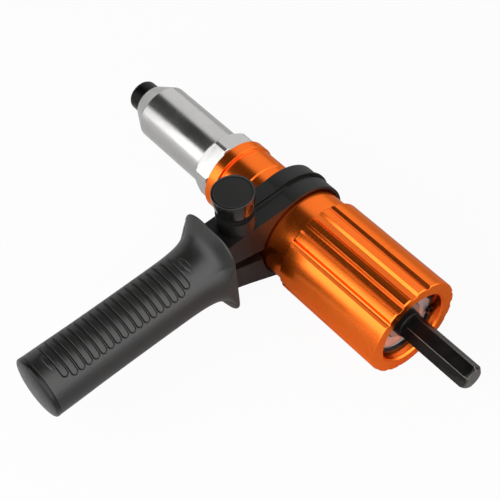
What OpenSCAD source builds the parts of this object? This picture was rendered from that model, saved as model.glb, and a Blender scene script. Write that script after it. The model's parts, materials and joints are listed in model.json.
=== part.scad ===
// Drill driven blind rivet adapter with a clamped side handle.
// The tool axis is X: the hex shank points to -X and the nosepiece to +X.
// The side handle lies along +Y and its clamp knob stands up along +Z.
// The origin is on the tool axis, in the rear face of the housing.

/* [Housing] */
// Outer diameter of the gripped rear sleeve
sleeve_d = 44; // [42:0.5:52]
// Length of the gripped rear sleeve
sleeve_l = 55; // [50:0.5:70]
// Diameter of the smooth collar that the clamp closes on
collar_d = 40.6; // [38:0.2:41]
// Visible length of the collar behind the clamp
collar_l = 11; // [6:0.5:20]
// Outer diameter of the neck in front of the clamp
neck_d = 32.5; // [31.5:0.5:34]
// Visible length of the neck between the clamp and its flange
neck_l = 20.6; // [14:0.2:40]
// Outer diameter of the flange at the end of the neck
flange_d = 34; // [33:0.5:38]
// Length of the flange at the end of the neck
flange_l = 6; // [4:0.1:10]
// Chamfer along the rear edge of the sleeve
edge_chamfer = 1.1; // [0.5:0.1:1.5]

/* [Grip flutes] */
// Groups of flutes round the sleeve
flute_groups = 3; // [2:1:3]
// Depth of one flute
flute_depth = 0.95; // [0.5:0.05:1.3]
// Width of the two middle flutes of a group at the surface
flute_w = 5.2; // [4:0.1:6]
// Width of the two outer flutes of a group at the surface
side_flute_w = 3.5; // [3:0.1:4]
// Width of one sloping flank of a flute
flute_flank = 1.4; // [0.8:0.1:1.6]
// Angle between the middle flutes and the middle of their group
flute_angle = 10; // [9:0.5:11]
// Angle between the outer flutes and the middle of their group
side_flute_angle = 29.3; // [26:0.1:31]
// Turn of the first group from the top towards the handle
group_turn = 11.5; // [0:0.5:30]

/* [Drive shank] */
// Width across the flats of the hex shank
hex_af = 10; // [8:0.5:10.2]
// Length of the hex shank behind the housing
hex_l = 31.8; // [25:0.1:40]
// Shaft diameter through the ball bearing
shaft_d = 12; // [12:0.5:14]
// Shaft diameter through the thrust bearing
thrust_shaft_d = 15; // [15:0.5:16]
// Travel of the jaws along the tool axis
stroke = 17.5; // [10:0.5:18]

/* [Bearings] */
// Outer diameter of the ball bearing
bearing_od = 32; // [30:0.5:34]
// Width of the ball bearing
bearing_w = 10; // [9:0.5:12]
// Depth of the ball bearing behind the rear face
bearing_x = 5; // [4.6:0.1:7]
// Number of balls
ball_count = 7; // [6:1:8]
// Diameter of one ball
ball_d = 5.6; // [5:0.1:5.8]
// Outer diameter of the needle thrust bearing
thrust_od = 28; // [26:0.5:28]
// Number of needles in the thrust bearing
needle_count = 18; // [12:1:20]

/* [Nose] */
// Width across the flats of the hexagon on the nose sleeve
nose_af = 28.3; // [27:0.1:30]
// Length of the hexagon on the nose sleeve
nose_hex_l = 10; // [7:0.1:14]
// Diameter to which the corners of the hexagon are turned
nose_turned_d = 31.8; // [30:0.1:33]
// Diameter of the long plain part of the nose sleeve
nose_d = 26.3; // [25.6:0.1:27]
// Length of the nose sleeve in front of the neck flange
nose_l = 58.5; // [53:0.1:90]
// Length of the cone at the front of the nose sleeve
nose_cone_l = 8.3; // [5:0.1:10]
// Turn of the hexagon from the top towards the handle
nose_turn = 7; // [-30:1:30]
// Outer diameter of the nosepiece
tip_d = 14.4; // [12:0.2:16]
// Length of the nosepiece in front of the nose sleeve
tip_l = 8.4; // [6:0.2:14]
// Diameter of the hole for the rivet mandrel
mandrel_d = 3; // [2:0.1:3.6]

/* [Clamp and knob] */
// Length of the clamp along the tool axis
clamp_l = 16.4; // [15:0.2:19]
// Wall of the clamp ring
clamp_wall = 1.9; // [1.5:0.1:3]
// Distance from the tool axis to the flat face at the handle end
arm_l = 40; // [39:0.2:46]
// Distance from the tool axis to the knob axis
knob_y = 26.8; // [26:0.1:28]
// Largest diameter of the knob
knob_d = 17.7; // [16:0.1:19]
// Height of the knob
knob_h = 12.8; // [10:0.1:16]
// Grip scallops round the knob
knob_scallops = 5; // [4:1:7]
// Height of the boss under the knob
boss_h = 7.4; // [5:0.1:10]
// Diameter of the boss under the knob
boss_d = 16.2; // [15:0.1:18]

/* [Handle] */
// Length of the handle from its flat guard face to its end
handle_l = 89.4; // [86:0.1:120]
// Diameter of the middle of the grip
grip_d = 26; // [25:0.1:28]
// Height of the handle axis over the tool axis
handle_z = 7.8; // [7.4:0.1:8.6]
// Width of the guard along the tool axis
guard_w = 30.8; // [29:0.2:34]
// Height of the guard
guard_h = 46.6; // [44:0.2:49]
// Grip ribs on the upper side
rib_count = 18; // [9:1:18]
// Distance between two grip ribs
rib_pitch = 3.45; // [3:0.05:3.6]
// Height of a grip rib
rib_h = 0.5; // [0.3:0.1:0.8]

/* [Hidden] */
$fn = 72;

// Clearances
run_fit = 0.05;
free_fit = 0.3;
shield_gap = 0.3;
through = 1;

// Stations along the tool axis
clamp_x = sleeve_l + collar_l;
clamp_front = clamp_x + clamp_l;
clamp_mid = clamp_x + clamp_l / 2 - 0.2;
collar_end = clamp_front - 0.9;
spigot_l = 11.5;
spigot_x = collar_end - spigot_l;
flange_x = clamp_front + neck_l;
nose_x = flange_x + flange_l;
nose_front = nose_x + nose_l;
tip_front = nose_front + tip_l;

// Radii of the housing
sleeve_r = sleeve_d / 2;
collar_r = collar_d / 2;
neck_r = neck_d / 2;
flange_r = flange_d / 2;
bearing_r = bearing_od / 2;
chamber_r = 12.5;
spigot_r = 15.2;
spigot_chamfer = 0.5;
mouth_chamfer = 0.8;

// Bearing stack behind the web of the rear sleeve
ring_w = 1.2;
ring_depth = 0.85;
ring_x = bearing_x - ring_w - 0.05;
bearing_front = bearing_x + bearing_w;
shaft_r = shaft_d / 2;
thrust_shaft_r = thrust_shaft_d / 2;
thrust_r = thrust_od / 2;
collar_step = 1;
spindle_flange_l = 3.5;
washer_w = 1;
needle_d = 2;
thrust_x = bearing_front + collar_step + spindle_flange_l;
thrust_front = thrust_x + 2 * washer_w + needle_d + 4 * run_fit;
web_l = 6;
web_r = 8;
web_front = thrust_front + web_l;
race_in_r = 8.3;
race_out_r = 13.6;
race_mid_r = (race_in_r + race_out_r) / 2;
shield_w = 0.5;

// Draw tube and the jaws that it pulls
head_l = 16;
end_gap = 3;
head_x = web_front + end_gap + stroke;
head_r = chamber_r - free_fit;
thread_r = shaft_r - 0.3;
spindle_end = head_x + head_l - 2;
cavity_r = thread_r + 0.5;
tube_r = 9.8;
tube_thread_r = 8.5;
case_r = 10.4;
nose_bore_r = case_r + free_fit;
nose_spigot_r = 13.9;
nose_spigot_l = 17.5;
key_w = 4;
key_l = 13;
key_top = 14.3;
key_seat = 10.2;
tip_thread_r = 5;
tip_thread_l = 7.2;
tail_r = 3.4;
case_gap = 1.5;
front_wall_x = nose_front - tip_thread_l;
case_front = front_wall_x - case_gap;
case_mouth_r = 4.2;
case_lip = 0.3;
case_bore_r = 8;
jaw_slant = 12;
cone_l = (case_bore_r - case_mouth_r) / tan(jaw_slant);
cone_x = case_front - case_lip - cone_l;
jaw_l = 18;
jaw_close = 2.5;
jaw_r = case_bore_r - jaw_close * tan(jaw_slant) - free_fit - 0.05;
jaw_front = case_front - case_lip - 0.5 - jaw_close;
jaw_x = jaw_front - jaw_l;
jaw_gap = 0.4;
jaw_fit = 0.15;
pusher_head_l = 6;
pusher_stem_l = 10;
pusher_head_r = case_bore_r - 0.1;
pusher_stem_r = 4.2;
pusher_x = jaw_x - pusher_head_l;
spring_l = 12;
spring_wire = 1.3;
spring_r = 6;
spring_turns = 6;
tube_front = pusher_x - spring_l;
case_thread_l = 12;
case_x = tube_front - case_thread_l;
lock_l = 5;
lock_af = 20;

// Clamp, knob and handle
bore_gap = 0.2;
clamp_bore_r = collar_r + bore_gap;
clamp_r = clamp_bore_r + clamp_wall;
arm_top = clamp_r - 0.4;
band_groove_x = clamp_x + 6.9;
band_groove_w = 2;
seam_rib_w = 0.7;
seam_rib_h = 0.9;
arm_bar_w = 1.4;
arm_bar_h = 0.45;
stud_r = 3;
stud_hole_r = stud_r + free_fit;
nut_af = 10;
nut_h = 5;
nut_z = -7.4;
washer_h = 0.8;
washer_r = 6;
mouth_relief = 0.8;
boss_top = arm_top + boss_h;
knob_z = boss_top + washer_h;
knob_top = knob_z + knob_h - washer_h;
knob_r = knob_d / 2;
core_r = 5;
core_inset = 6.6;
core_l = 40;
handle_end = arm_l + handle_l;
cap_l = 3.5;
cap_swell = 0.4;
cap_r = grip_d / 2 + cap_swell;
cap_x = handle_end - cap_l;
grip_r = grip_d / 2;
grip_bore_r = 9.5;
cap_spigot_l = 8;

// Turns a profile of [x, radius] points round the tool axis
module lathe(points) {
    rotate([0, 90, 0])
        rotate_extrude()
            polygon([for (p = points) [p[1], p[0]]]);
}

// Plain rod or disc on the tool axis
module rod(x, length, r) {
    translate([x, 0, 0])
        rotate([0, 90, 0])
            cylinder(h = length, r = r);
}

// Hexagonal rod on the tool axis, given across the flats
module hex_rod(x, length, af, turn) {
    translate([x, 0, 0])
        rotate([-turn, 0, 0])
            rotate([0, 90, 0])
                cylinder(h = length, r = af / 2 / cos(30), $fn = 6);
}

// Ring between two radii on the tool axis
module ring(x, length, inner, outer) {
    lathe([[x, inner], [x, outer], [x + length, outer], [x + length, inner]]);
}

// Trapezoid groove along the sleeve, its middle at the angle from the top
module flute(angle, width) {
    floor_z = sleeve_r - flute_depth;
    rotate([-angle, 0, 0])
        translate([-through, 0, 0])
            rotate([90, 0, 90])
                linear_extrude(sleeve_l + 2 * through)
                    polygon([
                        [-width / 2 + flute_flank, floor_z],
                        [width / 2 - flute_flank, floor_z],
                        [width / 2, sleeve_r],
                        [width / 2, sleeve_r + through],
                        [-width / 2, sleeve_r + through],
                        [-width / 2, sleeve_r]
                    ]);
}

// Rear sleeve with its collar, bearing seat, web and keyway
module rear_sleeve() {
    color("orangered")
        difference() {
            lathe([
                [0, bearing_r + mouth_chamfer],
                [0, sleeve_r - edge_chamfer / 2],
                [edge_chamfer, sleeve_r],
                [sleeve_l - 0.5, sleeve_r],
                [sleeve_l, sleeve_r - 0.5],
                [sleeve_l, collar_r],
                [collar_end - 0.6, collar_r],
                [collar_end, collar_r - 0.6],
                [collar_end, spigot_r],
                [spigot_x, spigot_r],
                [spigot_x, chamber_r],
                [web_front, chamber_r],
                [web_front, web_r],
                [thrust_front, web_r],
                [thrust_front, thrust_r + free_fit / 2],
                [bearing_front, thrust_r + free_fit / 2],
                [bearing_front, bearing_r],
                [bearing_x - 0.05, bearing_r],
                [bearing_x - 0.05, bearing_r + ring_depth],
                [ring_x - 0.05, bearing_r + ring_depth],
                [ring_x - 0.05, bearing_r],
                [mouth_chamfer, bearing_r]
            ]);
            for (g = [0 : flute_groups - 1]) {
                middle = group_turn + g * 360 / flute_groups;
                flute(middle - side_flute_angle, side_flute_w);
                flute(middle - flute_angle, flute_w);
                flute(middle + flute_angle, flute_w);
                flute(middle + side_flute_angle, side_flute_w);
            }
            translate([web_front, -key_w / 2 - run_fit, 0])
                cube([spigot_x - web_front, key_w + 2 * run_fit, key_top + free_fit]);
        }
}

// Neck, screwed into the sleeve at the back and holding the nose at the front
module front_housing() {
    step_x = clamp_front + 8.3;
    step_h = 0.4;
    thread_x = nose_x - nose_spigot_l;
    color("orangered")
        lathe([
            [spigot_x, chamber_r],
            [spigot_x, spigot_r - spigot_chamfer],
            [spigot_x + spigot_chamfer, spigot_r],
            [collar_end, spigot_r],
            [collar_end, neck_r - step_h],
            [step_x, neck_r - step_h],
            [step_x + 2 * step_h, neck_r],
            [flange_x - 0.4, neck_r],
            [flange_x, neck_r - 0.4],
            [flange_x + 0.5, neck_r - 0.4],
            [flange_x + 1.1, flange_r],
            [nose_x - 0.3, flange_r],
            [nose_x, flange_r - 0.3],
            [nose_x, nose_spigot_r],
            [thread_x, nose_spigot_r],
            [thread_x, chamber_r]
        ]);
}

// Nose sleeve with its spanner hexagon, long plain barrel and front cone
module nose_sleeve() {
    nose_r = nose_d / 2;
    turned_r = nose_turned_d / 2;
    hex_end = nose_x + nose_hex_l;
    face_r = nose_af / 2 + 0.05;
    chamfer = turned_r - face_r;
    cone_r = tip_d / 2 + 1.4;
    color("silver")
        difference() {
            union() {
                rod(nose_x - nose_spigot_l, nose_spigot_l + through, nose_spigot_r);
                intersection() {
                    hex_rod(nose_x, nose_hex_l + through, nose_af, nose_turn);
                    lathe([
                        [nose_x, 0],
                        [nose_x, face_r],
                        [nose_x + chamfer, turned_r],
                        [hex_end - chamfer, turned_r],
                        [hex_end, face_r],
                        [hex_end, 0]
                    ]);
                }
                lathe([
                    [hex_end - through, 0],
                    [hex_end - through, nose_r],
                    [nose_front - nose_cone_l, nose_r],
                    [nose_front, cone_r],
                    [nose_front, 0]
                ]);
            }
            rod(nose_x - nose_spigot_l - through, front_wall_x - nose_x + nose_spigot_l + through, nose_bore_r);
            rod(front_wall_x - through, tip_thread_l + 2 * through, tip_thread_r);
        }
}

// Nosepiece with its threaded shank and the tail that holds the jaws open
module nosepiece() {
    tail_x = jaw_front + 0.1;
    tip_r = tip_d / 2;
    bore_r = mandrel_d / 2;
    end_round = 2.2;
    color("dimgray")
        lathe([
            [tail_x, bore_r + 0.5],
            [tail_x, tail_r - 0.8],
            [tail_x + 2, tail_r],
            [front_wall_x, tail_r],
            [front_wall_x, tip_thread_r - 0.5],
            [front_wall_x + 0.5, tip_thread_r],
            [nose_front, tip_thread_r],
            [nose_front, tip_r],
            for (a = [0 : 22.5 : 90]) [
                tip_front - end_round + end_round * sin(a),
                tip_r - end_round + end_round * cos(a)
            ],
            [tip_front, bore_r],
            [tail_x + 0.5, bore_r]
        ]);
}

// Outer ring of the ball bearing with its ball track
module bearing_outer_ring() {
    color("dimgray")
        difference() {
            ring(bearing_x, bearing_w, race_out_r, bearing_r);
            ball_track();
        }
}

// Inner ring of the ball bearing with its ball track
module bearing_inner_ring() {
    color("gray")
        difference() {
            ring(bearing_x, bearing_w, shaft_r, race_in_r);
            ball_track();
        }
}

// Round groove that both rings share with the balls
module ball_track() {
    translate([bearing_x + bearing_w / 2, 0, 0])
        rotate([0, 90, 0])
            rotate_extrude()
                translate([race_mid_r, 0])
                    circle(r = ball_d / 2 + run_fit);
}

// Places one child in the middle of each ball
module at_balls() {
    for (i = [0 : ball_count - 1])
        rotate([i * 360 / ball_count, 0, 0])
            translate([bearing_x + bearing_w / 2, 0, race_mid_r])
                children();
}

// Ribbon cage with a pocket for each ball
module bearing_cage() {
    cage_w = 7.2;
    color("peru")
        difference() {
            ring(bearing_x + bearing_w / 2 - cage_w / 2, cage_w, race_mid_r - 1, race_mid_r + 1);
            at_balls()
                sphere(r = ball_d / 2 + 2 * run_fit);
        }
}

// Balls of the bearing
module bearing_balls() {
    color("lightgray")
        at_balls()
            sphere(r = ball_d / 2);
}

// Thin shield pressed into the outer ring
module shield(x) {
    color("silver")
        ring(x, shield_w, race_in_r + shield_gap, race_out_r);
}

// Shield that shows in the rear mouth
module rear_shield() {
    shield(bearing_x + 0.3);
}

// Shield on the inner side
module front_shield() {
    shield(bearing_front - 0.3 - shield_w);
}

// Snap ring in its groove behind the bearing, with two eyes
module bore_retaining_ring() {
    gap_angle = 18;
    eye_r = 1.9;
    eye_hole = 0.9;
    band_r = bearing_r - 1.5;
    outer = bearing_r + ring_depth - 0.05;
    color("black")
        translate([ring_x, 0, 0])
            rotate([90, 0, 90])
                linear_extrude(ring_w)
                    difference() {
                        union() {
                            difference() {
                                circle(r = outer);
                                circle(r = band_r);
                                rotate(180)
                                    polygon([
                                        [0, 0],
                                        [outer * 1.4, -outer * 1.4 * tan(gap_angle)],
                                        [outer * 1.4, outer * 1.4 * tan(gap_angle)]
                                    ]);
                            }
                            for (side = [-1, 1])
                                rotate(180 + side * (gap_angle + 3))
                                    translate([band_r, 0])
                                        circle(r = eye_r);
                        }
                        for (side = [-1, 1])
                            rotate(180 + side * (gap_angle + 3))
                                translate([band_r, 0])
                                    circle(r = eye_hole);
                    }
}

// Spindle in one piece: hex shank, journal, thrust flange and drive screw
module drive_spindle() {
    hex_r = hex_af / 2 / cos(30);
    shank_end = 2;
    step_r = race_in_r - 0.1;
    flange_r = 13.2;
    color("black")
        union() {
            intersection() {
                hex_rod(-hex_l, hex_l + shank_end, hex_af, 41.5);
                lathe([
                    [-hex_l, 0],
                    [-hex_l, 4.2],
                    [-hex_l + 1.9, hex_r + 0.1],
                    [shank_end, hex_r + 0.1],
                    [shank_end, 0]
                ]);
            }
            lathe([
                [shank_end, 0],
                [shank_end, shaft_r - 0.4],
                [shank_end + 0.4, shaft_r],
                [bearing_front, shaft_r],
                [bearing_front, step_r],
                [bearing_front + collar_step, step_r],
                [bearing_front + collar_step, flange_r],
                [thrust_x, flange_r],
                [thrust_x, thrust_shaft_r - run_fit],
                [thrust_front, thrust_shaft_r - run_fit],
                [thrust_front + 0.8, thread_r],
                [spindle_end - 1, thread_r],
                [spindle_end, thread_r - 1],
                [spindle_end, 0]
            ]);
        }
}

// Thrust washer that turns with the spindle
module thrust_rear_washer() {
    color("silver")
        ring(thrust_x, washer_w, thrust_shaft_r, thrust_r - 0.2);
}

// Thrust washer that stands on the web
module thrust_front_washer() {
    color("silver")
        ring(thrust_front - washer_w, washer_w, thrust_shaft_r + free_fit, thrust_r);
}

// Places one child on the axis of each needle
module at_needles() {
    for (i = [0 : needle_count - 1])
        rotate([i * 360 / needle_count, 0, 0])
            translate([thrust_x + washer_w + 2 * run_fit + needle_d / 2, 0, thrust_shaft_r + 1.3])
                children();
}

// Flat cage of the thrust bearing
module thrust_cage() {
    cage_w = 1.4;
    cage_x = thrust_x + washer_w + 2 * run_fit + (needle_d - cage_w) / 2;
    slot_l = thrust_r - thrust_shaft_r - 2.2;
    color("peru")
        difference() {
            ring(cage_x, cage_w, thrust_shaft_r + free_fit, thrust_r - 0.3);
            at_needles()
                translate([-needle_d, -needle_d / 2 - run_fit, -run_fit])
                    cube([2 * needle_d, needle_d + 2 * run_fit, slot_l + 2 * run_fit]);
        }
}

// Needles of the thrust bearing
module thrust_needles() {
    needle_l = thrust_r - thrust_shaft_r - 2.2;
    color("lightgray")
        at_needles()
            cylinder(h = needle_l, r = needle_d / 2, $fn = 24);
}

// Keyed tube that travels on the drive screw and pulls the jaw case
module draw_tube() {
    color("slategray")
        difference() {
            lathe([
                [head_x, thread_r + run_fit],
                [head_x, head_r - 0.8],
                [head_x + 0.8, head_r],
                [head_x + head_l - 0.8, head_r],
                [head_x + head_l, head_r - 0.8],
                [head_x + head_l, tube_r],
                [case_x - lock_l - 3, tube_r],
                [case_x - lock_l - 3, tube_thread_r],
                [tube_front - 0.5, tube_thread_r],
                [tube_front, tube_thread_r - 0.5],
                [tube_front, pusher_stem_r + free_fit],
                [head_x + head_l + stroke, pusher_stem_r + free_fit],
                [head_x + head_l + stroke, cavity_r],
                [head_x + head_l, cavity_r],
                [head_x + head_l, thread_r + run_fit]
            ]);
            translate([head_x + 1.5, -key_w / 2, key_seat])
                cube([key_l, key_w, head_r]);
        }
}

// Feather key that stops the draw tube from turning
module anti_rotation_key() {
    color("darkgray")
        translate([head_x + 1.5, -key_w / 2, key_seat])
            cube([key_l, key_w, key_top - key_seat]);
}

// Nut that locks the jaw case on the draw tube
module lock_nut() {
    color("silver")
        difference() {
            intersection() {
                hex_rod(case_x - lock_l, lock_l, lock_af, 0);
                rod(case_x - lock_l, lock_l, case_r - 0.2);
            }
            rod(case_x - lock_l - through, lock_l + 2 * through, tube_thread_r);
        }
}

// Jaw case with its long bore and inner cone
module jaw_case() {
    color("gray")
        lathe([
            [case_x, tube_thread_r],
            [case_x, case_r - 0.5],
            [case_x + 0.5, case_r],
            [case_front - 1.5, case_r],
            [case_front, case_r - 1.5],
            [case_front, case_mouth_r],
            [case_front - case_lip, case_mouth_r],
            [cone_x, case_bore_r],
            [tube_front, case_bore_r],
            [tube_front, tube_thread_r]
        ]);
}

// Points of one ring of the spring wire at the given turn
function wire_ring(t, sides) =
    let (a = t * 360 * spring_turns, x = tube_front + spring_wire / 2 + t * (spring_l - spring_wire))
    [for (k = [0 : sides - 1])
        let (b = k * 360 / sides, r = spring_r + spring_wire / 2 * cos(b))
        [x + spring_wire / 2 * sin(b), r * sin(a), r * cos(a)]];

// Coil spring that pushes the jaws into their cone
module pusher_spring() {
    sides = 8;
    steps = 16 * spring_turns;
    points = [for (i = [0 : steps]) each wire_ring(i / steps, sides)];
    walls = [for (i = [0 : steps - 1], k = [0 : sides - 1])
        [i * sides + k, (i + 1) * sides + k, (i + 1) * sides + (k + 1) % sides, i * sides + (k + 1) % sides]];
    first = [for (k = [0 : sides - 1]) k];
    last = [for (k = [sides - 1 : -1 : 0]) steps * sides + k];
    color("silver")
        polyhedron(points = points, faces = concat([first], walls, [last]));
}

// Tubular pusher between the spring and the jaws
module jaw_pusher() {
    color("dimgray")
        lathe([
            [pusher_x - pusher_stem_l, mandrel_d / 2 + 0.5],
            [pusher_x - pusher_stem_l, pusher_stem_r - 0.5],
            [pusher_x - pusher_stem_l + 0.5, pusher_stem_r],
            [pusher_x, pusher_stem_r],
            [pusher_x, pusher_head_r],
            [pusher_x + 2.5, pusher_head_r],
            [jaw_x, jaw_r - 1],
            [jaw_x, mandrel_d / 2 + 0.5]
        ]);
}

// One jaw, a third of a split cone, drawn back to its open place
module jaw(angle) {
    grip_r = mandrel_d / 2 - 0.1;
    cone_front_r = case_mouth_r + 0.5 * tan(jaw_slant) - jaw_fit;
    closed_x = jaw_x + jaw_close;
    lift = jaw_close * tan(jaw_slant);
    color("darkslategray")
        rotate([-angle, 0, 0])
            translate([-jaw_close, 0, lift])
                difference() {
                    intersection() {
                        lathe([
                            [closed_x, grip_r + 0.6],
                            [closed_x, jaw_r],
                            [closed_x + jaw_l - (jaw_r - cone_front_r) / tan(jaw_slant), jaw_r],
                            [closed_x + jaw_l, cone_front_r],
                            [closed_x + jaw_l, grip_r],
                            [closed_x + 1, grip_r]
                        ]);
                        translate([closed_x - through, 0, 0])
                            rotate([90, 0, 90])
                                linear_extrude(jaw_l + 2 * through)
                                    polygon([
                                        [0, jaw_gap / 2 / sin(60)],
                                        [3 * jaw_r * sin(60), 3 * jaw_r * cos(60) + jaw_gap / 2 / sin(60)],
                                        [-3 * jaw_r * sin(60), 3 * jaw_r * cos(60) + jaw_gap / 2 / sin(60)]
                                    ]);
                    }
                    for (i = [2 : 9])
                        ring(closed_x + i * 1.7, 0.5, grip_r - 0.2, grip_r + 0.35);
                }
}

// Jaw under the key
module jaw_top() {
    jaw(0);
}

// Jaw on the handle side
module jaw_right() {
    jaw(120);
}

// Jaw on the far side
module jaw_left() {
    jaw(240);
}

// Side outline of the clamp in (y, z), grown by a rib height
module clamp_outline(grow) {
    root_angle = 38;
    circle(r = clamp_r + grow);
    polygon([
        [0, 0],
        [(clamp_r + grow) * sin(root_angle), -(clamp_r + grow) * cos(root_angle)],
        [28.6, -10 - grow],
        [arm_l, -4.6 - grow],
        [arm_l, arm_top + grow],
        [0, arm_top + grow]
    ]);
}

// Opening of the clamp in (y, z): the bore and the slot between the arms
module clamp_opening() {
    circle(r = clamp_bore_r);
    polygon([
        [clamp_bore_r - 3, 5.2],
        [clamp_bore_r - 3, -0.8],
        [arm_l * 0.54, 0.3],
        [arm_l * 0.86, 5.3],
        [arm_l + through, 7.2],
        [arm_l + through, 10.7],
        [arm_l * 0.86, 9.5]
    ]);
}

// Split clamp ring with its two arms and the boss for the knob
module clamp() {
    color([0.12, 0.12, 0.13])
        difference() {
            union() {
                translate([clamp_x, 0, 0])
                    rotate([90, 0, 90])
                        linear_extrude(clamp_l)
                            clamp_outline(0);
                translate([band_groove_x + band_groove_w, 0, 0])
                    rotate([90, 0, 90])
                        linear_extrude(seam_rib_w)
                            clamp_outline(seam_rib_h);
                translate([band_groove_x + 0.3, 0.5, arm_top - through])
                    cube([arm_bar_w, knob_y - 0.5, through + arm_bar_h]);
                translate([clamp_mid, knob_y, 0])
                    cylinder(h = boss_top, r = boss_d / 2);
            }
            translate([clamp_x - through, 0, 0])
                rotate([90, 0, 90])
                    linear_extrude(clamp_l + 2 * through)
                        clamp_opening();
            lathe([
                [clamp_x - through, 0],
                [clamp_x - through, clamp_bore_r + mouth_relief + through],
                [clamp_x + mouth_relief, clamp_bore_r],
                [clamp_x + mouth_relief, 0]
            ]);
            lathe([
                [clamp_front + through, 0],
                [clamp_front + through, clamp_bore_r + mouth_relief + through],
                [clamp_front - mouth_relief, clamp_bore_r],
                [clamp_front - mouth_relief, 0]
            ]);
            difference() {
                ring(band_groove_x, band_groove_w, clamp_r - 0.8, clamp_r + through);
                translate([band_groove_x - through, 0, -clamp_r - through])
                    cube([band_groove_w + 2 * through, clamp_r + 2 * through, 2 * clamp_r + 2 * through]);
            }
            translate([clamp_mid, knob_y, -clamp_r])
                cylinder(h = clamp_r + boss_top + through, r = stud_hole_r);
            translate([clamp_mid, knob_y, -clamp_r])
                cylinder(h = clamp_r + nut_z + nut_h, r = (nut_af + free_fit) / 2 / cos(30), $fn = 6);
            translate([clamp_mid, arm_l - core_inset, handle_z])
                rotate([-90, 0, 0])
                    cylinder(h = core_inset + through, r = core_r);
        }
}

// Steel washer between the boss and the knob
module knob_washer() {
    color("silver")
        translate([clamp_mid, knob_y, boss_top])
            difference() {
                cylinder(h = washer_h, r = washer_r);
                translate([0, 0, -through])
                    cylinder(h = washer_h + 2 * through, r = stud_hole_r);
            }
}

// Scalloped knob moulded on its stud
module knob() {
    body_h = knob_top - knob_z;
    top_r = knob_r - 1.5;
    base_r = knob_r - 1.9;
    scallop_r = 4.8;
    scallop_depth = 1.5;
    scallop_turn = 0.61;
    scallop_h = body_h * 0.5;
    color([0.08, 0.08, 0.08])
        translate([clamp_mid, knob_y, knob_z])
            difference() {
                rotate_extrude()
                    polygon([
                        [0, 0],
                        [base_r, 0],
                        [knob_r - 0.5, body_h * 0.42],
                        [knob_r, body_h * 0.62],
                        [knob_r - 0.1, body_h * 0.76],
                        [knob_r - 0.6, body_h * 0.9],
                        [top_r, body_h],
                        [0, body_h]
                    ]);
                for (i = [0 : knob_scallops - 1])
                    rotate((i + scallop_turn) * 360 / knob_scallops)
                        translate([knob_r + scallop_r - scallop_depth, 0, 0]) {
                            translate([0, 0, -through])
                                cylinder(h = scallop_h + through, r = scallop_r);
                            translate([0, 0, scallop_h])
                                sphere(r = scallop_r);
                        }
                translate([0, 0, -through])
                    cylinder(h = body_h * 0.75 + through, r = stud_r);
            }
}

// Threaded stud that the knob turns
module knob_stud() {
    stud_bottom = nut_z - 1.5;
    stud_top = knob_z + (knob_top - knob_z) * 0.75;
    color("silver")
        translate([clamp_mid, knob_y, stud_bottom])
            cylinder(h = stud_top - stud_bottom, r = stud_r);
}

// Hexagon nut held in the pocket of the lower arm
module clamp_nut() {
    color("silver")
        translate([clamp_mid, knob_y, nut_z])
            difference() {
                cylinder(h = nut_h, r = nut_af / 2 / cos(30), $fn = 6);
                translate([0, 0, -through])
                    cylinder(h = nut_h + 2 * through, r = stud_r + run_fit);
            }
}

// Steel stud gripped by the arms and moulded into the handle
module handle_stud() {
    color("silver")
        translate([clamp_mid, arm_l - core_inset, handle_z])
            rotate([-90, 0, 0])
                cylinder(h = core_inset + core_l, r = core_r);
}

// Turns a profile of [distance from the guard face, radius] points round the handle axis
module handle_lathe(points) {
    translate([clamp_mid, arm_l, handle_z])
        rotate([-90, 0, 0])
            rotate_extrude()
                polygon([for (p = points) [p[1], p[0]]]);
}

// Plate with four rounded corners, standing across the handle axis
module guard_block(depth) {
    corner = 11;
    translate([clamp_mid, arm_l, handle_z])
        rotate([-90, 0, 0])
            linear_extrude(depth)
                union() {
                    square([guard_w - 2 * corner, guard_h], center = true);
                    square([guard_w, guard_h - 2 * corner], center = true);
                    for (sx = [-1, 1], sy = [-1, 1])
                        translate([sx * (guard_w / 2 - corner), sy * (guard_h / 2 - corner)])
                            circle(r = corner);
                }
}

// Grip with its flared guard, slight waist and rows of raised ribs
module handle_grip() {
    body_l = handle_l - cap_l;
    plate_r = guard_h / 2;
    rib_w = rib_pitch * 0.62;
    rib_x = 18.4;
    rib_turn = 45;
    rib_lean = 5;
    color([0.15, 0.15, 0.16])
        difference() {
            union() {
                intersection() {
                    guard_block(body_l);
                    handle_lathe([
                        [0, 0],
                        [0, plate_r + 3.3],
                        [1.2, plate_r + 0.7],
                        [2, plate_r - 1],
                        [3, plate_r - 3.7],
                        [4, plate_r - 6.1],
                        [5, grip_r + 3.1],
                        [6.5, grip_r + 2.6],
                        [8, grip_r + 1.9],
                        [10, grip_r + 1.3],
                        [12, grip_r + 0.9],
                        [14, grip_r + 0.55],
                        [17, grip_r + 0.2],
                        [body_l * 0.5, grip_r],
                        [body_l * 0.78, grip_r],
                        [body_l, cap_r],
                        [body_l, 0]
                    ]);
                }
                for (i = [0 : rib_count - 1])
                    translate([clamp_mid, arm_l + rib_x + i * rib_pitch, handle_z])
                        rotate([-90, 0, 0])
                            rotate([0, 0, -90 - rib_lean - rib_turn])
                                rotate_extrude(angle = 2 * rib_turn)
                                    translate([grip_r - 1, 0])
                                        square([1 + rib_h, rib_w]);
            }
            translate([clamp_mid, arm_l - through, handle_z])
                rotate([-90, 0, 0])
                    cylinder(h = core_l + through, r = core_r);
            translate([clamp_mid, arm_l + core_l, handle_z])
                rotate([-90, 0, 0])
                    cylinder(h = body_l - core_l + through, r = grip_bore_r);
        }
}

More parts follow.
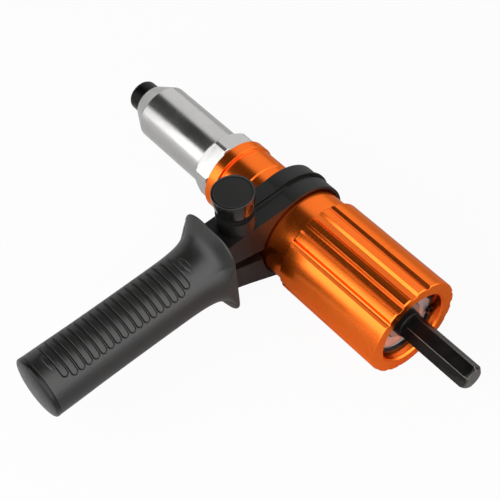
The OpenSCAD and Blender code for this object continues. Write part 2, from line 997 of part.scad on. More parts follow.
// Domed cap that plugs the end of the grip
module handle_end_cap() {
    body_l = handle_l - cap_l;
    color([0.1, 0.1, 0.11])
        handle_lathe([
            [body_l - cap_spigot_l, 0],
            [body_l - cap_spigot_l, grip_bore_r - 0.6],
            [body_l - cap_spigot_l + 1, grip_bore_r],
            [body_l, grip_bore_r],
            [body_l, cap_r - 0.3],
            [body_l + 0.3, cap_r],
            [body_l + cap_l * 0.29, cap_r - 0.25],
            [body_l + cap_l * 0.57, cap_r - 1.1],
            [body_l + cap_l * 0.77, cap_r - 3.2],
            [body_l + cap_l * 0.91, cap_r - 5.6],
            [body_l + cap_l, cap_r - 7.9],
            [body_l + cap_l, 0]
        ]);
}

rear_sleeve();
front_housing();
nose_sleeve();
nosepiece();
bearing_outer_ring();
bearing_inner_ring();
bearing_cage();
bearing_balls();
rear_shield();
front_shield();
bore_retaining_ring();
drive_spindle();
thrust_rear_washer();
thrust_cage();
thrust_needles();
thrust_front_washer();
draw_tube();
anti_rotation_key();
lock_nut();
jaw_case();
pusher_spring();
jaw_pusher();
jaw_top();
jaw_left();
jaw_right();
clamp();
knob_washer();
knob();
knob_stud();
clamp_nut();
handle_stud();
handle_grip();
handle_end_cap();
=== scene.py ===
import bpy
import bmesh
import json
import math
from mathutils import Matrix, Vector


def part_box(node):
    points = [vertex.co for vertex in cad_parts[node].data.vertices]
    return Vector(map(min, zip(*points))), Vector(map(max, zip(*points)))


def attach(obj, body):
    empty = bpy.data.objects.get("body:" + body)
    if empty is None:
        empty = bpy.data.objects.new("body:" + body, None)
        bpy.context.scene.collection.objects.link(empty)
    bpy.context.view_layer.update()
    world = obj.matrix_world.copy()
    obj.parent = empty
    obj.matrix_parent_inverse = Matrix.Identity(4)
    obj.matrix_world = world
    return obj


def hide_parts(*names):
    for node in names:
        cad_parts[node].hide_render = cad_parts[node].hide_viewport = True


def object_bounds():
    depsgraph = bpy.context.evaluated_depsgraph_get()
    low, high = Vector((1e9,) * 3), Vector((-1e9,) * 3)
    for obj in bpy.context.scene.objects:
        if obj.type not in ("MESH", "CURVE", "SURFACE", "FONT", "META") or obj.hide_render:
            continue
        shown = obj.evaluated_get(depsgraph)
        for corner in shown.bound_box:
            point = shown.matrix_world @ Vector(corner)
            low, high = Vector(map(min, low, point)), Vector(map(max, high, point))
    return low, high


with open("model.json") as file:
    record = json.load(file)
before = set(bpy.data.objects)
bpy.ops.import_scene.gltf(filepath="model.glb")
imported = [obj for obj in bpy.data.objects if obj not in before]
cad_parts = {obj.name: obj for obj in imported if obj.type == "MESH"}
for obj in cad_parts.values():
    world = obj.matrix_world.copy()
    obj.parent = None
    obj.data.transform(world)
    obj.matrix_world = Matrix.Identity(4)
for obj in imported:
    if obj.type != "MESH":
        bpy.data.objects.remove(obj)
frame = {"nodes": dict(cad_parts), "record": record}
cadBox = [list(corner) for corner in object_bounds()]
print("frame loaded")


# Shader helpers

class Wire:                                      # one shader value that works in plain arithmetic
    def __init__(self, owner, socket):
        self.owner = owner
        self.socket = socket

    def __add__(self, other):
        return self.owner.maths("ADD", self, other)

    def __radd__(self, other):
        return self.owner.maths("ADD", other, self)

    def __sub__(self, other):
        return self.owner.maths("SUBTRACT", self, other)

    def __rsub__(self, other):
        return self.owner.maths("SUBTRACT", other, self)

    def __mul__(self, other):
        return self.owner.maths("MULTIPLY", self, other)

    def __rmul__(self, other):
        return self.owner.maths("MULTIPLY", other, self)


class Nodes:                                     # adds nodes to one shader tree
    def __init__(self, tree):
        self.tree = tree

    def node(self, kind, settings=None, inputs=None, output=0):
        made = self.tree.nodes.new("ShaderNode" + kind)
        for key, value in (settings or {}).items():
            if key == "stops":
                self.setStops(made.color_ramp, value)
            else:
                setattr(made, key, value)
        for key, value in (inputs or {}).items():
            self.plug(made.inputs[key], value)
        return Wire(self, made.outputs[output])

    def setStops(self, ramp, stops):             # stops are (place, grey level)
        while len(ramp.elements) < len(stops):
            ramp.elements.new(1.0)
        for element, (spot, level) in zip(ramp.elements, stops):
            element.position = spot
            element.color = (level, level, level, 1.0)

    def plug(self, socket, value):
        if isinstance(value, Wire):
            self.tree.links.new(value.socket, socket)
        elif isinstance(value, tuple) and len(value) == 3 and len(socket.default_value) == 4:
            socket.default_value = (*value, 1.0)
        else:
            socket.default_value = value

    def maths(self, operation, *values):
        return self.node("Math", {"operation": operation}, dict(enumerate(values)))

    def showAs(self, shader, target="Material Output"):
        self.plug(self.tree.nodes[target].inputs["Surface"], shader)


class Finish(Nodes):                             # one material
    def __init__(self, name):
        self.material = bpy.data.materials.new(name)
        self.material.use_nodes = True
        super().__init__(self.material.node_tree)
        self.shader = self.tree.nodes["Principled BSDF"]
        self.place = self.node("TexCoord", output="Object")

    def noise(self, scale, detail, stretch=(1, 1, 1)):
        spread = self.node("Mapping", None, {"Vector": self.place, "Scale": stretch})
        return self.node("TexNoise", None, {"Vector": spread, "Scale": scale, "Detail": detail})

    def rings(self, stretch):                    # turning marks round the tool axis
        return self.noise(1.0, 2.0, stretch)

    def axisPart(self, axis):
        return self.node("SeparateXYZ", None, {"Vector": self.place}, output=axis)

    def turn(self):                              # degrees round the tool axis, from the top towards the handle
        return self.maths("ARCTAN2", self.axisPart(1), self.axisPart(2)) * (180 / math.pi)

    def between(self, value, low, high, outLow=0.0, outHigh=1.0):
        spread = {"Value": value, "From Min": low, "From Max": high, "To Min": outLow, "To Max": outHigh}
        return self.node("MapRange", {"clamp": True}, spread)

    def blend(self, factor, first, second):
        return self.node("Mix", {"data_type": "RGBA"}, {0: factor, 6: first, 7: second}, output=2)

    def bump(self, height, strength, distance):
        return self.node("Bump", None, {"Height": height, "Strength": strength, "Distance": distance})

    def surface(self, **values):
        names = {"colour": "Base Color", "rough": "Roughness", "metal": "Metallic", "coat": "Coat Weight",
                 "coatRough": "Coat Roughness", "normal": "Normal", "shine": "Specular IOR Level",
                 "edge": "Specular Tint"}
        for key, value in values.items():
            self.plug(self.shader.inputs[names[key]], value)
        return self.material


# Finishes: noise sizes are counts to the metre, a bump is (strength, depth in metres),
# a mix is (noise from, to, share of the second colour from, to), a span is the noise that roughness runs over

def orangeAnodised():
    look = {
        "colour": (0.92, 0.165, 0.016), "deep": (0.80, 0.12, 0.008), "edge": (1.0, 0.62, 0.42),
        "mix": (0.4, 0.8, 0.0, 0.3), "rough": (0.25, 0.28), "span": (0.6, 1.4), "coat": 0.14, "coatRough": 0.12,
        "cloud": 70.0, "rings": (5200, 60, 60), "bump": (0.004, 0.00002),
    }
    f = Finish("orangeAnodised")
    cloud = f.noise(look["cloud"], 3.0)
    rings = f.rings(look["rings"])
    return f.surface(
        colour=f.blend(f.between(cloud, *look["mix"]), look["colour"], look["deep"]),
        metal=1.0,
        rough=f.between(rings + cloud, *look["span"], *look["rough"]),
        coat=look["coat"], coatRough=look["coatRough"], edge=look["edge"],
        normal=f.bump(rings, *look["bump"]))


def noseSteel():
    look = {
        "colour": (0.5, 0.495, 0.485), "dull": (0.42, 0.41, 0.40), "mix": (0.45, 0.8, 0.0, 0.5),
        "rough": (0.16, 0.3), "span": (0.6, 1.4),
        "cloud": 95.0, "grain": 1900.0, "rings": (4200, 90, 90), "ringShare": 0.35, "bump": (0.28, 0.00009),
    }
    f = Finish("noseSteel")
    rings = f.rings(look["rings"])
    cloud = f.noise(look["cloud"], 4.0)
    grain = f.noise(look["grain"], 2.0)          # open grain that breaks up the reflections
    return f.surface(
        colour=f.blend(f.between(cloud, *look["mix"]), look["colour"], look["dull"]),
        metal=1.0,
        rough=f.between(rings + cloud, *look["span"], *look["rough"]),
        normal=f.bump(rings * look["ringShare"] + grain, *look["bump"]))


def blackOxide():
    look = {
        "colour": (0.012, 0.0115, 0.011), "worn": (0.20, 0.18, 0.16), "metal": 0.9,
        "rough": (0.3, 0.46), "span": (0.3, 0.7),
        "corner": 41.5, "cornerWear": (1.6, 3.4), "cornerShare": 0.75,         # degrees: a shank corner, its worn width
        "shankFrom": (-0.0002, 0.0002), "endWear": (-0.0316, -0.0311), "endMix": (0.3, 0.6, 0.1, 0.5),
        "smear": 70.0, "smearLong": (0.35, 1, 1), "smearMix": (0.56, 0.72, 0.0, 0.25),
        "cloud": 160.0, "grain": 1800.0, "bump": (0.1, 0.00005),
    }
    f = Finish("blackOxide")
    cloud = f.noise(look["cloud"], 4.0)
    grain = f.noise(look["grain"], 2.0)
    toCorner = f.maths("PINGPONG", f.turn() + (360 - look["corner"]), 30.0)
    onShank = f.between(f.axisPart(0), *look["shankFrom"], 1.0, 0.0)
    edges = f.between(toCorner + cloud * 3.0, *look["cornerWear"], 1.0, 0.0) * onShank
    smears = f.between(f.noise(look["smear"], 5.0, look["smearLong"]), *look["smearMix"])
    rubbed = f.between(f.axisPart(0), *look["endWear"], 1.0, 0.0) * f.between(cloud, *look["endMix"])
    worn = f.maths("MAXIMUM", f.maths("MAXIMUM", edges * look["cornerShare"], smears), rubbed)
    return f.surface(
        colour=f.blend(worn, look["colour"], look["worn"]),
        metal=look["metal"],
        rough=f.between(cloud, *look["span"], *look["rough"]),
        normal=f.bump(grain, *look["bump"]))


def plainSteel(name, colour, rough, metal=1.0):
    look = {
        "dull": 0.75, "mix": (0.4, 0.7, 0.0, 0.4), "smoother": 0.05, "rougher": 0.08, "span": (0.3, 0.7),
        "cloud": 220.0, "rings": (5000, 80, 80), "bump": (0.05, 0.00004),
    }
    f = Finish(name)
    cloud = f.noise(look["cloud"], 3.0)
    rings = f.rings(look["rings"])
    return f.surface(
        colour=f.blend(f.between(cloud, *look["mix"]), colour, tuple(look["dull"] * c for c in colour)),
        metal=metal,
        rough=f.between(cloud, *look["span"], rough - look["smoother"], rough + look["rougher"]),
        normal=f.bump(rings, *look["bump"]))


def blackPlastic(name, colour, rough, grain, bump, shine):
    look = {
        "pale": 1.6, "mix": (0.35, 0.7, 0.0, 0.5), "smoother": 0.05, "rougher": 0.07, "span": (0.3, 0.7),
        "cloud": 45.0, "scuffs": 380.0, "scuffLong": (1, 0.2, 1), "scuffMix": (0.62, 0.75, 0.0, 0.5), "scuffed": 0.06,
    }
    f = Finish(name)
    grains = f.noise(grain, 2.0)
    cloud = f.noise(look["cloud"], 3.0)
    scuffs = f.between(f.noise(look["scuffs"], 3.0, look["scuffLong"]), *look["scuffMix"])
    even = f.between(grains, *look["span"], rough - look["smoother"], rough + look["rougher"])
    return f.surface(
        colour=f.blend(f.between(cloud, *look["mix"]), colour, tuple(look["pale"] * c for c in colour)),
        rough=even + scuffs * look["scuffed"],
        shine=shine,
        normal=f.bump(grains, *bump))


finishes = {
    "orange_anodised": orangeAnodised(),
    "nose_steel": noseSteel(),
    "black_oxide": blackOxide(),
    "bearing_steel": plainSteel("bearingSteel", (0.32, 0.31, 0.30), 0.3),
    "shield_steel": plainSteel("shieldSteel", (0.56, 0.57, 0.58), 0.36, metal=0.7),
    "cage_brass": plainSteel("cageBrass", (0.66, 0.42, 0.16), 0.35),
    "tool_steel": plainSteel("toolSteel", (0.30, 0.30, 0.31), 0.32),
    "spring_steel": plainSteel("springSteel", (0.45, 0.45, 0.46), 0.25),
    "zinc_steel": plainSteel("zincSteel", (0.62, 0.63, 0.64), 0.3),
    "clamp_plastic": blackPlastic("clampPlastic", (0.0050, 0.0045, 0.0041), 0.48, grain=1400.0,
                                  bump=(0.35, 0.00005), shine=0.28),
    "grip_plastic": blackPlastic("gripPlastic", (0.0036, 0.0032, 0.0028), 0.4, grain=2000.0,
                                 bump=(0.8, 0.00009), shine=0.5),
    "cap_plastic": blackPlastic("capPlastic", (0.004, 0.0038, 0.0036), 0.32, grain=1500.0,
                                bump=(0.4, 0.00006), shine=0.26),
    "knob_plastic": blackPlastic("knobPlastic", (0.006, 0.0057, 0.0056), 0.18, grain=700.0,
                                 bump=(0.1, 0.00002), shine=0.32),
    "knob_face": blackPlastic("knobFace", (0.008, 0.0074, 0.007), 0.42, grain=1800.0,
                              bump=(0.4, 0.00005), shine=0.28),
}
slotOf = {part["node"]: part["material_slot"] for part in frame["record"]["subparts"]}
for name, piece in frame["nodes"].items():
    for place in piece.material_slots:
        place.material = finishes[slotOf[name]]
    if not piece.material_slots:
        piece.data.materials.append(finishes[slotOf[name]])
print("finishes made")


# Shared steps for pieces

bodyOf = {node: body for body, nodes in frame["record"]["behaviour"]["bodies"].items() for node in nodes}
edgeLook = {"merge": 0.000001, "spunMerge": 0.0000005, "flat": 1.0, "across": 0.98, "areaWeight": 80}


def asPiece(name, form, node):                   # the bmesh becomes an object that stands for this CAD node
    mesh = bpy.data.meshes.new(name)
    form.to_mesh(mesh)
    form.free()
    mesh.shade_smooth()
    piece = bpy.data.objects.new(name, mesh)
    bpy.context.scene.collection.objects.link(piece)
    mesh.materials.append(finishes[slotOf[node]])
    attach(piece, bodyOf[node])
    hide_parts(node)
    return piece


def evenShade(piece):                            # flats and turned sides shade true, only the broken edges roll over
    shade = piece.modifiers.new("shade", "WEIGHTED_NORMAL")
    shade.mode = "FACE_AREA"
    shade.weight = edgeLook["areaWeight"]
    shade.use_face_influence = True


def softened(name, node, width, segments=2, sharp=35, shape=None, limited=False):
    form = bmesh.new()                           # the CAD node's shape, with its edges broken
    form.from_mesh(frame["nodes"][node].data)
    bmesh.ops.remove_doubles(form, verts=form.verts, dist=edgeLook["merge"])
    inner = [line for line in form.edges                             # ring faces across the axis keep their triangles
             if len(line.link_faces) == 2 and abs(line.link_faces[0].normal.x) < edgeLook["across"]]
    bmesh.ops.dissolve_limit(form, angle_limit=math.radians(edgeLook["flat"]), verts=[], edges=inner)
    if shape:
        shape(form)
    piece = asPiece(name, form, node)
    edge = piece.modifiers.new("edges", "BEVEL")
    edge.width = width
    edge.segments = segments
    edge.limit_method = "ANGLE"
    edge.angle_limit = math.radians(sharp)
    edge.use_clamp_overlap = limited
    edge.face_strength_mode = "FSTR_ALL"
    evenShade(piece)


def spun(outline, centre, way, steps):           # turns (along, radius) points round an axis
    form = bmesh.new()
    along = Vector(way)
    side = along.orthogonal().normalized()
    dots = [form.verts.new(Vector(centre) + along * a + side * r) for a, r in outline]
    lines = [form.edges.new(pair) for pair in zip(dots, dots[1:])]
    bmesh.ops.spin(form, geom=dots + lines, cent=centre, axis=way, angle=2 * math.pi, steps=steps, use_merge=True)
    bmesh.ops.remove_doubles(form, verts=form.verts, dist=edgeLook["spunMerge"])
    bmesh.ops.recalc_face_normals(form, faces=form.faces)
    return form


def boxOf(node):                                 # lowest corner, highest corner and middle, in millimetres
    low, high = [Vector(corner) * 1000 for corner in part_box(node)]
    return low, high, (low + high) / 2


def toMetres(form):                              # handle and knob are drawn in millimetres
    bmesh.ops.scale(form, vec=(0.001, 0.001, 0.001), verts=form.verts)


def curveThrough(points, spot):                  # smooth height at the spot, through (spot, height) points
    if spot <= points[0][0]:
        return points[0][1]
    if spot >= points[-1][0]:
        return points[-1][1]
    i = max(k for k in range(len(points) - 1) if points[k][0] <= spot)
    slopes = []
    for k in (i, i + 1):
        before, after = points[max(k - 1, 0)], points[min(k + 1, len(points) - 1)]
        slopes.append((after[1] - before[1]) / (after[0] - before[0]))
    step = points[i + 1][0] - points[i][0]
    t = (spot - points[i][0]) / step
    bulge = (2 * t ** 3 - 3 * t ** 2 + 1) * points[i][1] + (3 * t ** 2 - 2 * t ** 3) * points[i + 1][1]
    return bulge + step * ((t ** 3 - 2 * t ** 2 + t) * slopes[0] + (t ** 3 - t ** 2) * slopes[1])


def softLeast(a, b, blur):                       # the smaller value, with a soft corner where the two meet
    share = max(blur - abs(a - b), 0.0) / blur
    return min(a, b) - share * share * blur / 4


# Housing, nose, spindle and clamp

rimLook = {                                      # metres: the CAD's rear chamfer, and the smaller one in its place
    "chamferLong": 0.0011, "chamferEnd": 0.0012, "chamferLow": 0.0214,
    "newLong": 0.00055, "newLow": 0.02174, "newRise": 0.00026,
    "floor": (0.02104, 0.0211), "floorEnd": 0.001, "floorDrop": 0.0004,
    "upperSlope": 2, "upperShift": 0.6,
}


def crispRim(form):                              # on the upper side, flutes that cut visibly through the rear rim
    look = rimLook
    for dot in form.verts:
        reach = math.hypot(dot.co.y, dot.co.z)
        if reach < look["floor"][0]:
            continue
        upper = min(max(dot.co.z / reach * look["upperSlope"] + look["upperShift"], 0.0), 1.0)
        wide = reach
        if dot.co.x < look["chamferEnd"] and reach > look["chamferLow"]:
            share = dot.co.x / look["chamferLong"]
            wide += (look["newLow"] + look["newRise"] * share - reach) * upper
            dot.co.x += (look["newLong"] * share - dot.co.x) * upper
        elif reach < look["floor"][1] and dot.co.x < look["floorEnd"]:
            wide -= look["floorDrop"] * upper
        dot.co.y *= wide / reach
        dot.co.z *= wide / reach


softened("sleeveShell", "rear_sleeve", 0.00012, sharp=18, shape=crispRim)
softened("neckShell", "front_housing", 0.0001, sharp=20)
softened("noseShell", "nose_sleeve", 0.00014, sharp=20)
softened("noseTip", "nosepiece", 0.0002)
softened("hexShank", "drive_spindle", 0.00025)
softened("clampBody", "clamp", 0.0005, segments=3, limited=True)
softened("clampNut", "clamp_nut", 0.00025, limited=True)
print("housing, nose and clamp made")


# Handle

gripLook = {                                     # millimetres and degrees, turns from the top towards the nose
    "flare": [(0, 26.6), (1.2, 24.0), (2, 22.3), (3, 20.1), (4, 18.3), (5, 17.05), (6.5, 15.9), (8, 15.1),
              (10, 14.35), (12, 13.9), (14, 13.55), (18, 13.15), (30, 13.0), (62, 13.0), (86, 13.4)],
    "neck": 13.15, "leastFlare": 21.5, "pastRim": 1.2, "corner": 11.0, "edgeBlur": 0.35,
    "ribs": 18, "firstRib": 19.5, "ribPitch": 3.45, "ribHalf": 1.2, "ribRadius": 13.2,
    "ribAngle": 45.0, "endRibAngle": 38.0, "ribLean": -5.0, "ribsFrom": 12, "ribsEnd": 43,
    "padSteps": [(-0.3, 0.5), (-0.1, 0.44), (0.0, -0.42), (0.1, -0.6), (0.22, -0.42), (0.34, 0.0)],
    "marks": [14.8, 81.0], "markAngle": 20.0, "markHalf": 0.95, "markReach": 1.4, "markShare": 0.6,
    "drawnRadius": 10.0, "front": [(0.0, 0.0), (0.0, 5.0), (0.0, 9.65), (0.12, 9.87)], "back": [9.9, 6.0, 0.0],
    "flareRings": [0.3, 0.5, 0.8, 1.1] + [1.4 + 0.35 * k for k in range(20)] + [8.6 + 0.7 * k for k in range(7)],
    "markRings": [0.0, 0.25, 0.55, 0.75, 0.9, 1.0, 1.1, 1.3],
    "ribRings": [-0.85, -0.5, -0.3, -0.1, 0.0, 0.1, 0.22, 0.34],
    "backRings": [83.0, 84.0, 85.0], "lastRings": [0.4, 0.2], "leastGap": 0.06,
    "turns": [-51 + 0.7 * k for k in range(27)] + [-32 + 3 * k for k in range(18)]
             + [22.5 + 0.7 * k for k in range(28)] + [42.5 + 266 * k / 88 for k in range(88)],
}
capLook = {                                      # (along from the seam, radius) and (along, inset from the rim)
    "inside": [(-6, 0), (-6, 9), (-0.1, 9)],
    "crown": [(0.05, 0.5), (0.12, 0.15), (0.35, 0), (1.35, 0.05), (1.5, 0.16), (1.62, 0.2), (2.0, 0.75),
              (2.35, 1.7), (2.7, 3.1), (3.0, 4.8), (3.25, 6.7), (3.42, 9)],
    "steps": 128,
}


def guardReach(turn, halfWide, halfHigh, corner):                    # middle to rim of the guard, at this turn
    dx, dz = abs(math.sin(turn)), abs(math.cos(turn))
    reach = min(halfWide / max(dx, 1e-9), halfHigh / max(dz, 1e-9))
    if reach * dx > halfWide - corner and reach * dz > halfHigh - corner:
        cx, cz = halfWide - corner, halfHigh - corner
        along = dx * cx + dz * cz
        reach = along + math.sqrt(max(along * along - cx * cx - cz * cz + corner * corner, 0.0))
    return reach


def padStep(out):                                # height over the grip, by the distance outside a pad's outline
    steps = gripLook["padSteps"]
    if out <= steps[0][0]:
        return steps[0][1]
    for (near, high), (far, low) in zip(steps, steps[1:]):
        if out <= far:
            return high + (low - high) * (out - near) / (far - near)
    return 0.0


def ribLift(along, turn):                        # height of the rib pads and end marks on the grip
    look = gripLook
    lean = turn - look["ribLean"]
    i = min(max(round((along - look["firstRib"]) / look["ribPitch"]), 0), look["ribs"] - 1)
    half = look["endRibAngle"] if i in (0, look["ribs"] - 1) else look["ribAngle"]
    off = abs(along - look["firstRib"] - i * look["ribPitch"])
    reach = look["ribRadius"] * math.radians(half) - look["ribHalf"]
    past = max(look["ribRadius"] * math.radians(abs(lean)) - reach, 0.0)
    lift = padStep(math.hypot(off, past) - look["ribHalf"])
    for spot in look["marks"]:
        room = 1 - (lean / look["markAngle"]) ** 2
        if room > 0 and abs(along - spot) < look["markReach"]:
            lift = padStep(abs(along - spot) - look["markHalf"] * room) * look["markShare"]
    return lift


def gripRings(length):                           # places along the grip that get a ring
    look = gripLook
    rings = look["flareRings"] + look["backRings"] + [length - back for back in look["lastRings"]]
    for spot in look["marks"]:
        rings += [spot + way * out for out in look["markRings"] for way in (-1, 1)]
    for i in range(look["ribs"]):
        spot = look["firstRib"] + i * look["ribPitch"]
        for out in look["ribRings"]:
            rings += [spot - look["ribHalf"] - out, spot + look["ribHalf"] + out]
        rings += [spot, spot + look["ribPitch"] / 2]
    kept = []
    for spot in sorted(rings):
        if not kept or spot - kept[-1] > look["leastGap"]:
            kept.append(spot)
    return kept


def makeGrip():
    look = gripLook
    turns, neck, drawn = look["turns"], look["neck"], look["drawnRadius"]
    low, high, middle = boxOf("handle_grip")
    length = high.y - low.y
    outline = look["front"] + [(spot, drawn) for spot in gripRings(length)]
    outline += [(length, wide) for wide in look["back"]]
    form = spun(outline, (middle.x, low.y, middle.z), (0, 1, 0), len(turns))
    halfWide, halfHigh = (high.x - low.x) / 2, (high.z - low.z) / 2
    reach = [guardReach(math.radians(turn), halfWide, halfHigh, look["corner"]) for turn in turns]
    full = look["flare"][0][1] - neck
    for dot in form.verts:
        side = Vector((dot.co.x - middle.x, 0, dot.co.z - middle.z))
        if side.length < 0.001:
            continue
        k = round(math.atan2(side.x, side.z) / (2 * math.pi) * len(turns)) % len(turns)
        along = dot.co.y - low.y
        swell = (curveThrough(look["flare"], along) - neck) / full
        rise = max(reach[k] + look["pastRim"], look["leastFlare"]) - neck if swell > 0 else full
        wide = softLeast(neck + swell * rise, reach[k], look["edgeBlur"])
        if along > look["ribsFrom"] and turns[k] < look["ribsEnd"]:
            wide += ribLift(along, turns[k])
        wide *= side.length / drawn
        dot.co.x = middle.x + wide * math.sin(math.radians(turns[k]))
        dot.co.z = middle.z + wide * math.cos(math.radians(turns[k]))
    toMetres(form)
    bmesh.ops.recalc_face_normals(form, faces=form.faces)
    asPiece("gripBody", form, "handle_grip")


def makeCap():
    low, high, middle = boxOf("handle_end_cap")
    wide = (high.x - low.x) / 2
    seam = boxOf("handle_grip")[1].y
    outline = capLook["inside"] + [(along, wide - inset) for along, inset in capLook["crown"]] + [(high.y - seam, 0)]
    form = spun(outline, (middle.x, seam, middle.z), (0, 1, 0), capLook["steps"])
    toMetres(form)
    evenShade(asPiece("gripCap", form, "handle_end_cap"))


makeGrip()
makeCap()
print("handle made")


# Knob and its stud

knobLook = {                                     # millimetres, the side and top as (height, radius)
    "side": [(0.0, 6.5), (0.15, 6.85), (1.2, 7.4), (3.0, 7.95), (5.0, 8.35), (7.4, 8.68), (9.4, 8.8), (10.9, 8.78),
             (11.5, 8.66), (11.85, 8.4), (12.05, 8.05), (12.1, 7.85)],
    "top": [(-0.03, 7.7), (-0.07, 7.58), (-0.07, 7.3), (-0.03, 3.5), (-0.02, 0)],        # from the full height
    "lower": 1.1, "hole": 3, "face": 7.62, "faceDepth": 0.5,
    "scallops": 5, "turn": 0.61, "scallopRim": 8.85, "scallopWide": 4.8, "scallopDepth": 1.5, "scallopHigh": 0.5,
    "blur": 0.35, "core": 5, "steps": 300,
    "footRings": (0.0, 0.15, 0.4), "topRings": (0.25, 0.12, 0.04, 0.0), "sideRings": 44,
}
studLook = {                                     # millimetres
    "crest": 2.98, "root": 2.45, "pitch": 1.0, "end": 0.6, "steps": 28,
    "side": [(0.0, "root"), (0.12, "root"), (0.44, "crest"), (0.56, "crest"), (0.88, "root"), (1.0, "root")],
    "coreOver": 0.03, "chamfer": 0.4, "coreSteps": 48, "merge": 0.0005,
}


def cutScallops(form, middle, foot, tall):       # round hollows in the lower side of the knob
    look = knobLook
    far = look["scallopRim"] + look["scallopWide"] - look["scallopDepth"]
    for dot in form.verts:
        side = Vector((dot.co.x - middle.x, dot.co.y - middle.y))
        above = max(dot.co.z - foot - look["scallopHigh"] * tall, 0.0)
        if side.length < look["core"] or above >= look["scallopWide"]:
            continue
        wide = math.sqrt(look["scallopWide"] ** 2 - above ** 2)
        turn = math.atan2(side.y, side.x) / (2 * math.pi) * look["scallops"] - look["turn"]
        off = (turn - round(turn)) * 2 * math.pi / look["scallops"]
        room = wide ** 2 - (far * math.sin(off)) ** 2
        if room <= 0:
            continue
        reach = softLeast(side.length, far * math.cos(off) - math.sqrt(room), look["blur"])
        dot.co.x = middle.x + side.x / side.length * reach
        dot.co.y = middle.y + side.y / side.length * reach


def makeKnob():
    look = knobLook
    low, high, middle = boxOf("knob")
    tall = high.z - low.z - look["lower"]
    heights = set(look["footRings"]) | {tall - down for down in look["topRings"]}
    heights |= {tall * k / look["sideRings"] for k in range(1, look["sideRings"] - 1)}
    outline = [(0, 0), (0, look["hole"])] + [(z, curveThrough(look["side"], z)) for z in sorted(heights)]
    outline += [(tall + up, wide) for up, wide in look["top"]]
    form = spun(outline, (middle.x, middle.y, low.z), (0, 0, 1), look["steps"])
    cutScallops(form, middle, low.z, tall)
    for face in form.faces:
        centre = face.calc_center_median()
        out = math.hypot(centre.x - middle.x, centre.y - middle.y)
        face.material_index = 1 if centre.z > low.z + tall - look["faceDepth"] and out < look["face"] else 0
    toMetres(form)
    piece = asPiece("knobGrip", form, "knob")
    piece.data.materials.append(finishes["knob_face"])


def makeStud():
    look = studLook
    low, high, middle = boxOf("knob_stud")
    tall = high.z - low.z
    turns = int((tall - 2 * look["end"]) / look["pitch"])
    form = bmesh.new()
    dots = [form.verts.new((middle.x + look[kind], middle.y, low.z + look["end"] + up)) for up, kind in look["side"]]
    lines = [form.edges.new(pair) for pair in zip(dots, dots[1:])]
    bmesh.ops.spin(form, geom=dots + lines, cent=(middle.x, middle.y, 0), axis=(0, 0, 1),
                   dvec=(0, 0, look["pitch"] / look["steps"]), angle=2 * math.pi * turns,
                   steps=turns * look["steps"])
    bmesh.ops.remove_doubles(form, verts=form.verts, dist=look["merge"])
    bmesh.ops.recalc_face_normals(form, faces=form.faces)
    toMetres(form)
    asPiece("studThread", form, "knob_stud")
    root, slope = look["root"] + look["coreOver"], look["chamfer"]
    outline = [(0, 0), (0, root - slope), (slope, root), (tall - slope, root), (tall, root - slope), (tall, 0)]
    core = spun(outline, (middle.x, middle.y, low.z), (0, 0, 1), look["coreSteps"])
    toMetres(core)
    asPiece("studCore", core, "knob_stud")


makeKnob()
makeStud()
print("knob made")


# Camera, floor and light

cameraSet = {
    "target": (0.07325, 0.02202, 0.0), "distance": 0.53126,
    "azimuth": -35.907, "elevation": 53.0, "roll": -5.81, "focal": 92.404, "sensor": 36.0,
}
studio = {                                       # metres, angles round the tool axis from the top towards the handle
    "white": (1.0, 1.0, 1.0),
    "boxCorners": [(-0.6, -0.62), (0.704, -0.235), (0.93, 0.56), (-0.5, 0.56)],          # (along the axis, round it)
    "boxAngle": 50.5, "boxDistance": 0.9, "boxGlow": 3.1,
    "wallAngles": (-30.0, 84.0), "wallSteps": 12, "wallDistance": 1.25, "wallFrom": -0.1, "wallLong": 3.6,
    "wallFade": (-25.0, -7.0), "wallGlow": [(0.72, 0.38), (0.95, 0.08)],                 # (along the axis, glow)
    "flag": [(0.035, 0.26), (0.12, 0.27), (0.2, 0.26), (0.28, 0.23), (0.34, 0.19), (0.385, 0.15)],       # (x, z)
    "flagFrom": -0.07, "flagTo": 0.2, "flagGlow": 0.05,
    "room": [(0.0, 1.6), (0.3, 1.55), (0.43, 0.8), (0.5, 0.5), (1.0, 0.55)],             # seen in gloss, from -X to +X
    "roomGloss": 2.0, "roomColour": (0.8, 0.8, 0.8), "roomLight": 0.55,
    "floorSize": 3.0, "floorColour": (0.72, 0.72, 0.72), "floorRough": 0.9, "floorShine": 0.1, "floorWhite": 0.94,
}


def makeCamera():
    azimuth = math.radians(cameraSet["azimuth"])
    elevation = math.radians(cameraSet["elevation"])
    flat = math.cos(elevation)
    back = Vector((-flat * math.cos(azimuth), -flat * math.sin(azimuth), math.sin(elevation)))
    right = Vector((0, 0, 1)).cross(back).normalized()
    turn = Matrix((right, back.cross(right), back)).transposed()
    turn = turn @ Matrix.Rotation(math.radians(cameraSet["roll"]), 3, "Z")
    spot = Vector(cameraSet["target"]) + back * cameraSet["distance"]
    lens = bpy.data.cameras.new("camera")
    lens.sensor_width = cameraSet["sensor"]
    lens.lens = cameraSet["focal"]
    eye = bpy.data.objects.new("camera", lens)
    eye.matrix_world = Matrix.Translation(spot) @ turn.to_4x4()
    bpy.context.scene.collection.objects.link(eye)
    bpy.context.scene.camera = eye


def staged(name, form, f):                       # an object around the tool, which is no part of it
    mesh = bpy.data.meshes.new(name)
    form.to_mesh(mesh)
    form.free()
    mesh.materials.append(f.material)
    item = bpy.data.objects.new(name, mesh)
    bpy.context.scene.collection.objects.link(item)
    return item


def glowingSheet(name, form, strength, lights=False):                # the camera does not see it
    f = Finish(name)
    f.showAs(f.node("Emission", None, {"Color": studio["white"], "Strength": strength(f)}))
    item = staged(name, form, f)
    item.visible_camera = False
    item.visible_shadow = False
    item.visible_transmission = False
    item.visible_diffuse = lights


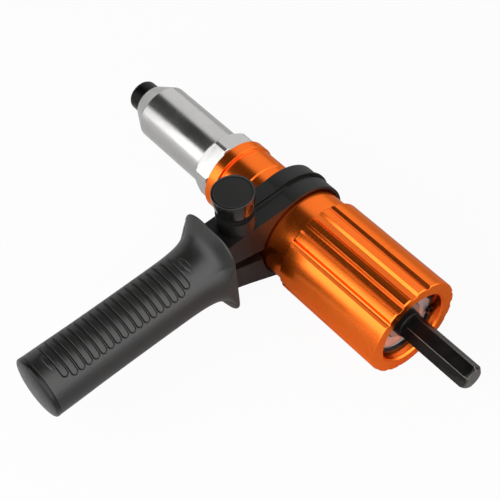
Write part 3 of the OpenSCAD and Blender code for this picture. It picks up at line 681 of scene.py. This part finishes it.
def bentSheet(points, way):                      # draws a line of points out along a vector
    form = bmesh.new()
    dots = [form.verts.new(point) for point in points]
    lines = [form.edges.new(pair) for pair in zip(dots, dots[1:])]
    drawn = bmesh.ops.extrude_edge_only(form, edges=lines)
    moved = [dot for dot in drawn["geom"] if isinstance(dot, bmesh.types.BMVert)]
    bmesh.ops.translate(form, vec=way, verts=moved)
    return form


def softBox():                                   # the one light that also lights matt surfaces
    middle = math.radians(studio["boxAngle"])
    outward = Vector((0, math.sin(middle), math.cos(middle)))
    around = Vector((0, math.cos(middle), -math.sin(middle)))
    centre = outward * studio["boxDistance"]
    form = bmesh.new()
    dots = [form.verts.new(centre + Vector((u, 0, 0)) + around * v) for u, v in studio["boxCorners"]]
    bmesh.ops.contextual_create(form, geom=dots)
    glowingSheet("softBox", form, lambda f: studio["boxGlow"], lights=True)


def darkWall():                                  # seen in gloss only, fading out towards the top
    first, last = studio["wallAngles"]
    steps, far = studio["wallSteps"], studio["wallDistance"]
    turns = [math.radians(first + (last - first) * k / steps) for k in range(steps + 1)]
    points = [(studio["wallFrom"], far * math.sin(turn), far * math.cos(turn)) for turn in turns]
    (near, nearGlow), (end, endGlow) = studio["wallGlow"]

    def strength(f):
        dim = f.between(f.axisPart(0), near, end, nearGlow, endGlow)
        return f.between(f.turn(), *studio["wallFade"], 1.0, 0.0) * (1 - dim) + dim
    glowingSheet("darkWall", bentSheet(points, (studio["wallLong"], 0, 0)), strength)


def darkFlag():                                  # a dark card arched over the grip, seen in gloss only
    points = [(x, studio["flagFrom"], z) for x, z in studio["flag"]]
    form = bentSheet(points, (0, studio["flagTo"] - studio["flagFrom"], 0))
    glowingSheet("darkFlag", form, lambda f: studio["flagGlow"])


def makeFloor():                                 # pale to the camera, with the tool's shadow left on it
    form = bmesh.new()
    bmesh.ops.create_grid(form, x_segments=1, y_segments=1, size=studio["floorSize"])
    bmesh.ops.translate(form, vec=(0, 0, cadBox[0][2]), verts=form.verts)
    f = Finish("floor")
    f.surface(colour=studio["floorColour"], rough=studio["floorRough"], shine=studio["floorShine"])
    seen = f.node("LightPath", output="Is Camera Ray") * studio["floorWhite"]
    glow = f.node("Emission", None, {"Color": studio["white"], "Strength": 1.0})
    f.showAs(f.node("MixShader", None, {0: seen, 1: Wire(f, f.shader.outputs[0]), 2: glow}))
    staged("floor", form, f)


def makeWorld():                                 # white behind, a grey room in diffuse light, a graded one in gloss
    world = bpy.data.worlds.new("studio")
    bpy.context.scene.world = world
    world.use_nodes = True
    f = Nodes(world.node_tree)
    seen = f.maths("MAXIMUM", f.node("LightPath", output="Is Camera Ray"),
                   f.node("LightPath", output="Is Transmission Ray"))
    room = f.node("Background", None, {"Color": studio["roomColour"], "Strength": studio["roomLight"]})
    white = f.node("Background", None, {"Color": studio["white"], "Strength": 1.0})
    across = f.node("SeparateXYZ", None, {"Vector": f.node("TexCoord", output="Generated")}) * 0.5 + 0.5
    level = f.node("ValToRGB", {"stops": studio["room"]}, {0: across})
    shine = f.node("Background", None, {"Color": level, "Strength": studio["roomGloss"]})
    both = f.node("MixShader", None, {0: seen, 1: room, 2: white})
    both = f.node("MixShader", None, {0: f.node("LightPath", output="Is Glossy Ray"), 1: both, 2: shine})
    f.showAs(both, "World Output")


makeCamera()
makeFloor()
makeWorld()
softBox()
darkWall()
darkFlag()
bpy.context.scene.view_settings.view_transform = "Standard"
print("camera, floor and light made")
